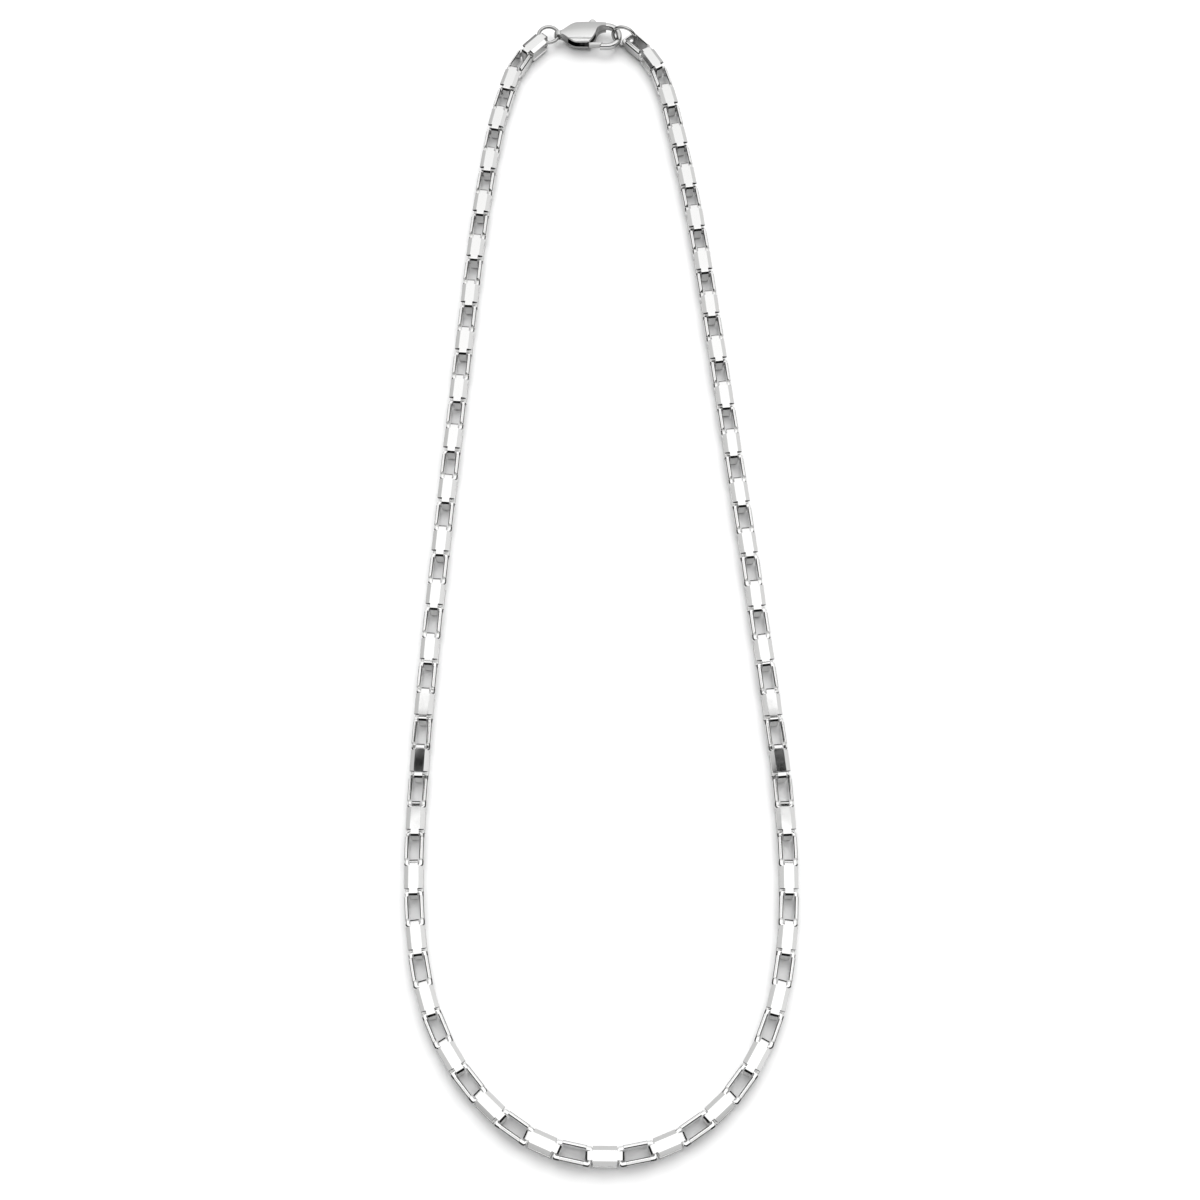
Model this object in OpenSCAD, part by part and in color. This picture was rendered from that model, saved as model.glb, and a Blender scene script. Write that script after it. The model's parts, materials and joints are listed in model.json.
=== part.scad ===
// Box chain necklace, closed with a lobster clasp and laid down as a long loop.
// Millimetres. X runs across the loop, Y from the lowest link to the clasp, and Z up from the surface it lies on.

/* [Chain] */
// Distance along the chain from one link to the next
link_pitch = 5.22; // [4.6:0.02:6]
// Width of the square that the links fill, seen along the chain
link_w = 3.3; // [3.2:0.05:3.8]
// Width of the opening inside a link
opening_w = 1.92; // [1.8:0.02:2.1]
// Thickness of a link's end, along the chain
end_t = 0.42; // [0.3:0.02:0.5]
// Width of the flat on the outside of a link's long wall
facet_w = 1.74; // [1.2:0.02:2.4]
// Depth that the bevels beside that flat drop to a wall's edges
bevel_drop = 0.34; // [0.1:0.02:0.5]
// Radius of a link's outer corners
corner_r = 0.55; // [0.45:0.05:0.9]
// Radius of the corners inside a link's opening
inner_r = 0.15; // [0.05:0.05:0.2]
// Play of a link's end between the walls of the next link, on each side
side_play = 0.24; // [0.2:0.02:0.3]
// Play between the ends of two links, along the chain
end_play = 0.28; // [0.2:0.02:0.4]
// Gap between a long wall's wide part and the end of the next link
wing_gap = 0.04; // [0.02:0.02:0.3]

/* [Jump rings] */
// Thickness of the rings' wire
wire_d = 0.7; // [0.6:0.02:0.72]
// Outer diameter of the ring at the clasp's eye
ring_left_d = 4.8; // [4.5:0.05:5]
// Outer diameter of the ring that the hook catches
ring_right_d = 5.5; // [5.2:0.05:5.8]
// Lean of the ring that the hook catches, 90 being upright
ring_right_lean = 82; // [70:1:90]
// Play between the rings and what hangs in them
ring_play = 0.13; // [0.1:0.01:0.16]

/* [Clasp] */
// Length from the neck to the end of the hook
clasp_len = 12.5; // [12:0.1:14]
// Width of the body
clasp_w = 5; // [4.8:0.1:5.8]
// Thickness of the body at its middle
clasp_t = 3; // [2.8:0.05:3.2]
// Drop of the body's domed faces from the middle to the sides
side_drop = 0.3; // [0.2:0.05:0.4]
// Drop of the domed faces from the middle to the neck
end_drop = 0.5; // [0.3:0.05:0.55]
// Width of the neck beside the eye
neck_w = 1; // [0.9:0.1:1.2]
// Length of the flare from the neck to the full width
flare_len = 3.3; // [2.6:0.1:3.8]
// Length of the body's near side, from the neck
near_len = 5.65; // [5.4:0.05:5.9]
// Outer width of the hook
hook_d = 6.3; // [6:0.05:6.6]
// Width of the hook's bar
hook_w = 1.1; // [1:0.05:1.2]
// Thickness of the hook's bar
hook_t = 1.5; // [1.3:0.05:1.6]
// Bevel along the hook's bar
hook_bevel = 0.3; // [0.2:0.05:0.35]
// Length of the hook's straight tip
tip_len = 1.15; // [0.8:0.05:1.5]
// Diameter of the eye's hole
eye_hole_d = 1.35; // [1.3:0.05:1.45]
// Wall of the eye around its hole
eye_wall = 0.3; // [0.25:0.05:0.4]
// Width of the eye beyond the neck, on each side
eye_rim = 0.05; // [0.05:0.05:0.15]

/* [Lever] */
// Height of the slot that the lever turns in
slot_t = 1.3; // [1.1:0.05:1.4]
// Play of the lever in the slot, above and below
lever_play = 0.08; // [0.05:0.01:0.12]
// Width of the gate
gate_w = 0.7; // [0.6:0.05:0.8]
// Gap between the gate's tip and the hook's tip
gate_gap = 0.12; // [0.08:0.02:0.2]
// Slant of the faces where the gate meets the hook
gate_slant = 30; // [26:1:40]
// Width of the thumb tab
tab_d = 1.4; // [1.2:0.05:1.5]
// Reach of the thumb tab beyond the body
tab_out = 1.3; // [1:0.05:1.4]
// Diameter of the rivet
pin_d = 0.8; // [0.6:0.05:0.9]
// Length of the rivet's ends inside each plate
pin_hold = 0.36; // [0.3:0.02:0.4]
// Running clearance of the lever around the rivet
pin_play = 0.05; // [0.03:0.01:0.08]

/* [Hidden] */
$fn = 64;

// Links
strip_inset = 0.05;
wing_slant = 0.08;
link_len = link_pitch + 2 * end_t + end_play;
opening_len = link_len - 2 * end_t;
strip_w = link_w - 2 * strip_inset;
end_w = opening_w - 2 * side_play;
wing_len = 2 * (link_pitch - link_len / 2 - wing_gap);
chain_z = link_w / 2;

// Clasp, in its own frame: u along it from the neck, v across it, w up from its middle plane
clasp_z = chain_z + 0.48;
clasp_place = [-7.95, 129.6];
hook_u = clasp_len - hook_d / 2;
hook_v = -0.4;
bar_in = hook_d / 2 - hook_w;
bar_mid = (hook_d - hook_w) / 2;
tip_u = hook_u - tip_len;
tip_v = hook_v - bar_mid;
seam_u = hook_u - 0.15;
eye_u = -0.6;
eye_r = eye_hole_d / 2 + eye_wall;
bay_r = 1.7;
bay_at = [hook_u - 0.45, hook_v + bar_in - bay_r];
dome_u = 5.2;
neck_solid = 1.3;
back_wall = 0.5;

// Lever: its rivet, its gate along the hook's tip, and its tab through a window in the body's far side
pin_at = [0.336 * clasp_len, -1.35];
pin_r = pin_d / 2;
pin_fit = 0.02;
hub_r = pin_r + 0.5;
lever_t = slot_t - 2 * lever_play;
gate_v = tip_v + 0.4;
tab_r = tab_d / 2;
tab_at = [0.512 * clasp_len, clasp_w / 2 + tab_out - tab_r];
tab_arm_w = 0.9;
window = [tab_at[0] - 3.1, tab_at[0] + 0.7];
arm_root = window[1] + 0.2;

// Rings: the left one lies level in the eye, the right one leans and stands on the surface
ring_left_r = (ring_left_d - wire_d) / 2;
ring_right_r = (ring_right_d - wire_d) / 2;
ring_left_turn = 178;
ring_left_slip = 0.1;
ring_left_at = clasp_place + [eye_u, 0] + (ring_left_r + ring_left_slip) * way(ring_left_turn);
left_turn = 227;
right_turn = -46;
ring_right_turn = -18;
bar_turn = -3;
link_shift = 0.55;
ring_right_z = ring_right_r * sin(ring_right_lean) + wire_d / 2;
ring_free = ring_right_r - wire_d / 2 - ring_play;

// Room beside the right ring's middle at a height, inside its wire
function ring_room(z) = sqrt(pow(ring_free, 2) - pow((ring_right_z - z) / sin(ring_right_lean), 2));
bar_room = ring_room(clasp_z - hook_t / 2 + hook_bevel) - hook_w / 2;
link_room = ring_room(chain_z - end_w / 2) - end_t / 2;

// Direction with a turn about Z
function way(turn) = [cos(turn), sin(turn)];
ring_right_at = clasp_place + [hook_u, hook_v] + bar_mid * way(bar_turn) + bar_room * way(ring_right_turn);

// Ends of the chain, half a pitch from the middles of the links that the rings hold
left_hold = sqrt(pow(ring_left_r - wire_d / 2 - ring_play, 2) - pow(end_w / 2, 2)) + opening_len / 2;
right_hold = (opening_len + end_t) / 2;
chain_start = ring_left_at + (left_hold - link_pitch / 2) * way(left_turn);
chain_end = ring_right_at + link_room * way(ring_right_turn) + link_shift * way(right_turn + 90)
    + (right_hold - link_pitch / 2) * way(right_turn);

// Points that the chain lies through, from the clasp down the left side and back up the right, each with how far
// its links have slid along the curve from even places
ROUTE = [[-15.25, 124.85, 0], [-17.68, 120.4, -0.1], [-19.1, 115.3, -0.2], [-21.3, 104.8, -0.4],
         [-23.9, 83, -0.4], [-26.5, 50, 0.3], [-28.7, 19, 1.1], [-30.6, -10, 1.9], [-31.6, -31, 2.2],
         [-31.8, -52, 2.3], [-29.6, -69.6, 2.4], [-23.8, -82.9, 2.4], [-14.2, -93, 2.4], [-3, -97.6, 2.4],
         [8.8, -96.7, 2.4], [18.8, -90.8, 2.3], [26.1, -81.4, 2.3], [30.5, -69, 2.2], [32.2, -53.4, 2.2],
         [31.85, -35, 2.3], [29.85, -14, 2.5], [27, 13, 3.1], [23.3, 46, 2.9], [19.15, 82, 1.75],
         [15.35, 105.8, 0.9], [13.5, 115.4, 0.55], [11.95, 120.7, 0.35], [9.65, 124.8, 0.15]];
path = concat([chain_start], [for (p = ROUTE) [p[0], p[1]]], [chain_end]);
steps = 16;

// Smooth curve through the path's points, and the length along it at each of its own points
function knot(i) = path[max(0, min(len(path) - 1, i))];
function bend(a, b, c, d, t) = 0.5 * (2 * b + (c - a) * t + (2 * a - 5 * b + 4 * c - d) * t * t
    + (3 * b - a - 3 * c + d) * t * t * t);
curve = [for (i = [0 : len(path) - 2]) for (k = [0 : steps - 1])
             bend(knot(i - 1), knot(i), knot(i + 1), knot(i + 2), k / steps),
         chain_end];
last = len(curve) - 1;
reach = [for (i = 0, s = 0; i <= last; s = s + (i < last ? norm(curve[i + 1] - curve[i]) : 0), i = i + 1) s];
chain_len = reach[last];

// Whole pairs of links that fill the curve
pairs = round(chain_len / (2 * link_pitch));
count = 2 * pairs;

// Point at a length along the curve
function span(s, low, high) = high - low <= 1 ? low
    : let (mid = floor((low + high) / 2)) reach[mid] <= s ? span(s, mid, high) : span(s, low, mid);
function along(s) = let (i = span(s, 0, last), t = (s - reach[i]) / (reach[i + 1] - reach[i]))
    curve[i] + t * (curve[i + 1] - curve[i]);
slides = concat([[0, 0]], [for (k = [0 : len(ROUTE) - 1]) [reach[(k + 1) * steps] / chain_len, ROUTE[k][2]]],
                [[1, 0]]);
joints = [for (i = [0 : count]) along(i / count * chain_len + lookup(i / count, slides))];
function link_at(i) = (joints[i] + joints[i + 1]) / 2;
function link_turn(i) = let (d = joints[i + 1] - joints[i]) atan2(d[1], d[0]);

// Middle of the whole necklace, from the links' outlines and the thumb tab
half_len = link_len / 2;
half_w = link_w / 2;
flat_x = half_len - corner_r;
flat_y = half_w - corner_r;
function turned(p, turn) = [p[0] * cos(turn) - p[1] * sin(turn), p[0] * sin(turn) + p[1] * cos(turn)];
rim = [for (i = [0 : count - 1]) for (x = [-1, 1]) for (p = [[flat_x, half_w], [flat_x, -half_w],
           [half_len, flat_y], [half_len, -flat_y]]) link_at(i) + turned([x * p[0], p[1]], link_turn(i))];
top = clasp_place[1] + clasp_w / 2 + tab_out;
middle = [(min([for (p = rim) p[0]]) + max([for (p = rim) p[0]])) / 2, (min([for (p = rim) p[1]]) + top) / 2];

// Flat shape with rounded corners, made to a height about its middle
module slab(size, r, h) {
    linear_extrude(h, center = true) {
        square([size[0] - 2 * r, size[1]], center = true);
        square([size[0], size[1] - 2 * r], center = true);
        for (x = [-1, 1], y = [-1, 1])
            translate([x * (size[0] / 2 - r), y * (size[1] / 2 - r)]) circle(r, $fn = 32);
    }
}

// One link, its opening along Z and its length along X
module link() {
    wing = wing_len / 2;
    wide = strip_w / 2;
    narrow = end_w / 2;
    lip = half_w - bevel_drop;
    flat = facet_w / 2;
    over = half_len + 1;
    intersection() {
        difference() {
            slab([link_len, link_w], corner_r, strip_w);
            slab([opening_len, opening_w], inner_r, strip_w + 1);
        }
        rotate([90, 0, 0]) linear_extrude(link_w + 1, center = true)
            polygon([[-over, -narrow], [-wing, -narrow], [wing_slant - wing, -wide], [wing - wing_slant, -wide],
                     [wing, -narrow], [over, -narrow], [over, narrow], [wing, narrow], [wing - wing_slant, wide],
                     [wing_slant - wing, wide], [-wing, narrow], [-over, narrow]]);
        rotate([90, 0, 90]) linear_extrude(link_len + 1, center = true)
            polygon([[-lip, -wide], [lip, -wide], [half_w, -flat], [half_w, flat],
                     [lip, wide], [-lip, wide], [-half_w, flat], [-half_w, -flat]]);
    }
}

// Links from one number to another, every other one turned a quarter about the chain
module links(first, end) {
    for (i = [first : end])
        translate([each (link_at(i) - middle), chain_z])
            rotate([0, 0, link_turn(i)]) rotate([i % 2 == 0 ? 90 : 0, 0, 0]) link();
}

module ring(r) {
    rotate_extrude() translate([r, 0]) circle(wire_d / 2, $fn = 32);
}

// Puts a piece of the clasp in its place
module at_clasp() {
    translate([each (clasp_place - middle), clasp_z]) children();
}

// Half width of the body along the flare, which starts at the neck
function flare(u) = neck_w / 2 + (clasp_w - neck_w) / 2 * pow(sin(90 * u / flare_len), 1.3);
flare_steps = 12;
flare_side = [for (k = [0 : flare_steps]) let (u = flare_len * k / flare_steps) [u, flare(u)]];
near_side = [for (k = [flare_steps : -1 : 0]) [flare_side[k][0], -flare_side[k][1]]];

// Edge of the body beside the hook: an inward curve from the hook's arm, then an outward one to the near side
bay = [for (turn = [90 : 7.5 : 165]) bay_at + bay_r * way(turn)];
bay_end = bay[len(bay) - 1];
near_end = [near_len, -clasp_w / 2];
bay_aim = bay_end - norm(near_end - bay_end) / 2 * way(75);
sweep = [for (t = [0.2 : 0.2 : 0.8])
             (1 - t) * (1 - t) * bay_end + 2 * t * (1 - t) * bay_aim + t * t * near_end];
outline = concat([[eye_u, neck_w / 2]], flare_side,
                 [[seam_u, clasp_w / 2], [seam_u, hook_v + bar_in]], bay, sweep,
                 [near_end], near_side, [[eye_u, -neck_w / 2]]);

// Radius of a face that drops by a depth over a half width
function dome_r(half, drop) = (half * half + drop * drop) / (2 * drop);
side_r = dome_r(clasp_w / 2, side_drop);
end_r = dome_r(dome_u - eye_u, end_drop);

// Round bar whose top makes one face of the body, lying along the clasp
module dome(r) {
    translate([dome_u, 0, clasp_t / 2 - r]) rotate([0, 90, 0])
        cylinder(h = 3 * clasp_len, r = r, center = true, $fn = 360);
}

// The same across the clasp
module cross_dome(r) {
    translate([dome_u, 0, clasp_t / 2 - r]) rotate([90, 0, 0])
        cylinder(h = 3 * clasp_len, r = r, center = true, $fn = 360);
}

// Outline of the body between its domed faces
module shell() {
    intersection() {
        linear_extrude(clasp_t + 1, center = true) polygon(outline);
        dome(side_r);
        mirror([0, 0, 1]) dome(side_r);
        cross_dome(end_r);
        mirror([0, 0, 1]) cross_dome(end_r);
    }
}

// Slot between the body's plates, with its window for the tab
module slot() {
    slot_end = clasp_w / 2 - back_wall;
    translate([neck_solid, slot_end - clasp_w, -slot_t / 2]) cube([clasp_len, clasp_w, slot_t]);
    translate([window[0], 0, -slot_t / 2]) cube([window[1] - window[0], clasp_w, slot_t]);
}

module bar_profile() {
    across = hook_w / 2;
    up = hook_t / 2;
    cut = hook_bevel;
    polygon([[-across, cut - up], [cut - across, -up], [across - cut, -up], [across, cut - up],
             [across, up - cut], [across - cut, up], [cut - across, up], [-across, up - cut]]);
}

// The hook: an arm from inside the body, a half circle, and a tip with a slanted end
module hook() {
    translate([hook_u, hook_v, 0]) rotate([0, 0, -90])
        rotate_extrude(angle = 180) translate([bar_mid, 0]) bar_profile();
    translate([arm_root, hook_v + bar_mid, 0]) rotate([90, 0, 90])
        linear_extrude(hook_u - arm_root) bar_profile();
    difference() {
        translate([tip_u - hook_w, tip_v, 0]) rotate([90, 0, 90])
            linear_extrude(hook_u - tip_u + hook_w) bar_profile();
        translate([tip_u, tip_v, 0]) rotate([0, 0, -gate_slant])
            translate([-2 * hook_w, -2 * hook_w, -hook_t]) cube([2 * hook_w, 4 * hook_w, 2 * hook_t]);
    }
}

module clasp_body() {
    color("silver") at_clasp() {
        difference() {
            union() {
                shell();
                translate([eye_u, 0, 0]) rotate([90, 0, 0])
                    cylinder(h = neck_w + 2 * eye_rim, r = eye_r, center = true);
            }
            slot();
            translate([eye_u, 0, 0]) rotate([90, 0, 0])
                cylinder(h = 3 * neck_w, r = eye_hole_d / 2, center = true);
            translate([each pin_at, 0])
                cylinder(h = slot_t + 2 * (pin_hold + pin_fit), r = pin_r + pin_fit, center = true);
        }
        hook();
    }
}

// Place on the gate's end face at a distance across the clasp
function gate_end(v) = [tip_u + tan(gate_slant) * (v - tip_v) - gate_gap / cos(gate_slant), v];

module clasp_lever() {
    gate_out = gate_v - gate_w / 2;
    gate_in = gate_v + gate_w / 2;
    tab_arm = tab_at - pin_at;
    color("gainsboro") at_clasp() difference() {
        union() {
            linear_extrude(lever_t, center = true)
                polygon([[pin_at[0], pin_at[1] - hub_r], [near_len - 0.5, gate_out + 0.45],
                         [near_len + 0.15, gate_out], gate_end(gate_out), gate_end(gate_in),
                         [near_len, gate_in], pin_at + hub_r * way(45), pin_at]);
            translate([each pin_at, 0]) cylinder(h = lever_t, r = hub_r, center = true);
            translate([each pin_at, 0]) rotate([0, 0, atan2(tab_arm[1], tab_arm[0])])
                translate([0, -tab_arm_w / 2, -lever_t / 2]) cube([norm(tab_arm), tab_arm_w, lever_t]);
            translate([each tab_at, 0]) cylinder(h = lever_t, r = tab_r, center = true);
        }
        translate([each pin_at, 0]) cylinder(h = 2 * lever_t, r = pin_r + pin_play, center = true);
    }
}

module clasp_pin() {
    color("dimgray") at_clasp() translate([each pin_at, 0])
        cylinder(h = slot_t + 2 * pin_hold, r = pin_r, center = true);
}

module jump_ring_left() {
    color("darkgray") translate([each (ring_left_at - middle), clasp_z]) ring(ring_left_r);
}

module jump_ring_right() {
    color("darkgray") translate([each (ring_right_at - middle), ring_right_z])
        rotate([0, 0, ring_right_turn]) rotate([ring_right_lean, 0, 0]) ring(ring_right_r);
}

module chain_left() {
    color("lightgray") links(0, pairs - 1);
}

module chain_right() {
    color("whitesmoke") links(pairs, count - 1);
}

chain_left();
chain_right();
jump_ring_left();
jump_ring_right();
clasp_body();
clasp_lever();
clasp_pin();
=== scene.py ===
"""Box chain necklace with a lobster clasp, laid on a pale floor: its links, rings and clasp in polished metal."""

import json
import math

import bmesh
import bpy
import numpy as np
from mathutils import Matrix, Vector


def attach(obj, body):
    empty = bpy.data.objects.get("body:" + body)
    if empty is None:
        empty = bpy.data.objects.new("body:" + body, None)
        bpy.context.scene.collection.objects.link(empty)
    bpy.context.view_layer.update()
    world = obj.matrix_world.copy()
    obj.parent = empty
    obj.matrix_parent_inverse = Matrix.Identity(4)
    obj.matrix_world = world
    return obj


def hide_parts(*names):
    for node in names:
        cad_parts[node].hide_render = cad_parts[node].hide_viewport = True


bl_info = {
    "name": "Box Chain Necklace",
    "version": (1, 0, 0),
    "blender": (4, 5, 0),
    "location": "View3D > Sidebar > Necklace",
    "description": "Dresses a box chain necklace and its lobster clasp in polished metal",
    "category": "Object",
}

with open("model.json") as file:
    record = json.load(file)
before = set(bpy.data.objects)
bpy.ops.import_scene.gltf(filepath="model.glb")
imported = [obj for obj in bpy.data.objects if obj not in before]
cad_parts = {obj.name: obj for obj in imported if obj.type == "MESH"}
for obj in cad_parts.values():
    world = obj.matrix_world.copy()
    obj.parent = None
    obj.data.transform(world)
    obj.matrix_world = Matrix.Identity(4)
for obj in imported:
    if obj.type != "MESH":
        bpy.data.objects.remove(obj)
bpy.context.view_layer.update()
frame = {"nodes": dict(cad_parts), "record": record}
MM = 0.001
# Middle of the lever's hinge, in millimetres
PIN = Vector(frame["record"]["behaviour"]["joints"][0]["pos_m"]) / MM
# A face lies across an axis when the part of its normal along that axis is over this
LEVEL = 0.9
# Added to a limit in millimetres, so that what lies right on it counts as inside
CLOSE = 0.01


# Shaping helpers

def clear_selection():
    """Deselects every object."""
    bpy.ops.object.select_all(action="DESELECT")


def begin(name):
    """Names the primitive that was just added and goes into edit mode on it."""
    piece = bpy.context.object
    piece.name = name
    piece.data.name = name
    bpy.ops.object.mode_set(mode="EDIT")
    return piece


def pick(piece, kind, test):
    """Selects the vertices, edges or faces that pass a test, and nothing else."""
    bm = bmesh.from_edit_mesh(piece.data)
    bpy.ops.mesh.select_mode(type={"verts": "VERT", "edges": "EDGE", "faces": "FACE"}[kind])
    for part in (bm.verts, bm.edges, bm.faces):
        for item in part:
            item.select = False
    for item in [item for item in getattr(bm, kind) if test(item)]:
        item.select_set(True)
    bm.select_flush_mode()
    bmesh.update_edit_mesh(piece.data)


def move(x=0, y=0, z=0):
    """Moves what is selected."""
    bpy.ops.transform.translate(value=(x, y, z))


def scale(x, y, z, centre=(0, 0, 0)):
    """Scales what is selected about a centre."""
    bpy.ops.transform.resize(value=(x, y, z), center_override=centre)


def extrude(x=0, y=0, z=0):
    """Draws the selected faces or outline out by a distance."""
    bpy.ops.mesh.extrude_region_move(TRANSFORM_OT_translate={"value": (x, y, z)})


def near(a, b, tolerance=0.004):
    """Whether two measures are the same within a tolerance."""
    return abs(a - b) < tolerance


def tidy_mesh():
    """Merges doubles and turns every face outwards, while in edit mode."""
    bpy.ops.mesh.select_all(action="SELECT")
    bpy.ops.mesh.remove_doubles(threshold=0.0005)
    bpy.ops.mesh.normals_make_consistent(inside=False)


def soften(piece, width, segments, angle):
    """Rounds the edges of a piece that are sharper than an angle in degrees."""
    bevel = piece.modifiers.new("edges", "BEVEL")
    bevel.width = width
    bevel.segments = segments
    bevel.limit_method = "ANGLE"
    bevel.angle_limit = math.radians(angle)
    bpy.ops.object.modifier_apply(modifier=bevel.name)


def smooth(piece, angle):
    """Shades a piece smooth up to an angle in degrees, its large faces staying flat."""
    clear_selection()
    piece.select_set(True)
    bpy.context.view_layer.objects.active = piece
    bpy.ops.object.shade_smooth_by_angle(angle=math.radians(angle))
    even = piece.modifiers.new("even", "WEIGHTED_NORMAL")
    even.keep_sharp = True
    bpy.ops.object.modifier_apply(modifier=even.name)


def finish_piece(piece, place, material):
    """Puts a piece modelled in millimetres in its place, in metres, with its object at the origin."""
    piece.data.transform(place @ Matrix.Scale(MM, 4))
    piece.data.materials.clear()
    piece.data.materials.append(material)


def joined(pieces, name):
    """Joins pieces into one, with a new name."""
    clear_selection()
    for piece in pieces:
        piece.select_set(True)
    bpy.context.view_layer.objects.active = pieces[0]
    if len(pieces) > 1:
        bpy.ops.object.join()
    whole = bpy.context.object
    whole.name = name
    whole.data.name = name
    return whole


# Shader nodes

def feed(tree, socket, source):
    """Gives a socket a plain value, or links it to another node's output."""
    if isinstance(source, bpy.types.NodeSocket):
        tree.links.new(source, socket)
    else:
        socket.default_value = source


def math_node(tree, operation, *sources, clamp=False):
    """Works out a value from plain values or other nodes' outputs."""
    node = tree.nodes.new("ShaderNodeMath")
    node.operation = operation
    node.use_clamp = clamp
    for socket, source in zip(node.inputs, sources):
        feed(tree, socket, source)
    return node.outputs[0]


def mix_node(tree, kind, factor, a, b):
    """Mixes or multiplies two colours."""
    node = tree.nodes.new("ShaderNodeMix")
    node.data_type = "RGBA"
    node.blend_type = kind
    for name, source in (("Factor", factor), ("A", a), ("B", b)):
        feed(tree, node.inputs[name], source)
    return node.outputs["Result"]


def axes_of(tree, output):
    """X, Y and Z of a place or direction that Texture Coordinate gives."""
    where = tree.nodes.new("ShaderNodeTexCoord")
    axes = tree.nodes.new("ShaderNodeSeparateXYZ")
    tree.links.new(where.outputs[output], axes.inputs[0])
    return axes.outputs


# Finishes

def wear_group():
    """Handling marks on polished metal: hazy patches and hairline scratches."""
    group = bpy.data.node_groups.get("handling_marks")
    if group:
        return group
    group = bpy.data.node_groups.new("handling_marks", "ShaderNodeTree")
    face = group.interface
    for name, default in (("Gloss", 0.08), ("Haze", 0.05), ("Patch Size", 300.0), ("Scratch Size", 2600.0)):
        socket = face.new_socket(name, in_out="INPUT", socket_type="NodeSocketFloat")
        socket.default_value = default
    face.new_socket("Roughness", in_out="OUTPUT", socket_type="NodeSocketFloat")
    face.new_socket("Marks", in_out="OUTPUT", socket_type="NodeSocketFloat")
    add = group.nodes.new
    link = group.links.new
    given = add("NodeGroupInput")
    put = add("NodeGroupOutput")
    where = add("ShaderNodeTexCoord")
    patches = add("ShaderNodeTexNoise")
    patches.inputs["Detail"].default_value = 3.0
    link(where.outputs["Object"], patches.inputs["Vector"])
    link(given.outputs["Patch Size"], patches.inputs["Scale"])
    haze = add("ShaderNodeMapRange")
    haze.inputs["From Min"].default_value = 0.35
    haze.inputs["From Max"].default_value = 0.75
    link(patches.outputs["Fac"], haze.inputs["Value"])
    link(math_node(group, "MULTIPLY_ADD", haze.outputs["Result"], given.outputs["Haze"], given.outputs["Gloss"]),
         put.inputs["Roughness"])
    stretch = add("ShaderNodeMapping")
    stretch.inputs["Scale"].default_value = (1.0, 0.12, 1.0)
    stretch.inputs["Rotation"].default_value = (0.3, 0.2, 0.7)
    link(where.outputs["Object"], stretch.inputs["Vector"])
    scratches = add("ShaderNodeTexNoise")
    scratches.inputs["Detail"].default_value = 4.0
    scratches.inputs["Roughness"].default_value = 0.65
    link(stretch.outputs["Vector"], scratches.inputs["Vector"])
    link(given.outputs["Scratch Size"], scratches.inputs["Scale"])
    link(scratches.outputs["Fac"], put.inputs["Marks"])
    return group


def polished(name, colour, gloss, haze, bump):
    """Polished metal of a colour with faint handling marks; lighter and darker copies of it paint light and shade."""
    material = bpy.data.materials.get(name)
    if material:
        return material
    material = bpy.data.materials.new(name)
    material.use_nodes = True
    nodes = material.node_tree.nodes
    link = material.node_tree.links.new
    shader = nodes["Principled BSDF"]
    shader.inputs["Metallic"].default_value = 1.0
    shader.inputs["Base Color"].default_value = (*colour, 1.0)
    marks = nodes.new("ShaderNodeGroup")
    marks.node_tree = wear_group()
    marks.inputs["Gloss"].default_value = gloss
    marks.inputs["Haze"].default_value = haze
    link(marks.outputs["Roughness"], shader.inputs["Roughness"])
    relief = nodes.new("ShaderNodeBump")
    relief.inputs["Strength"].default_value = bump
    relief.inputs["Distance"].default_value = 0.00001
    link(marks.outputs["Marks"], relief.inputs["Height"])
    link(relief.outputs["Normal"], shader.inputs["Normal"])
    return material


# Sizes

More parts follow.
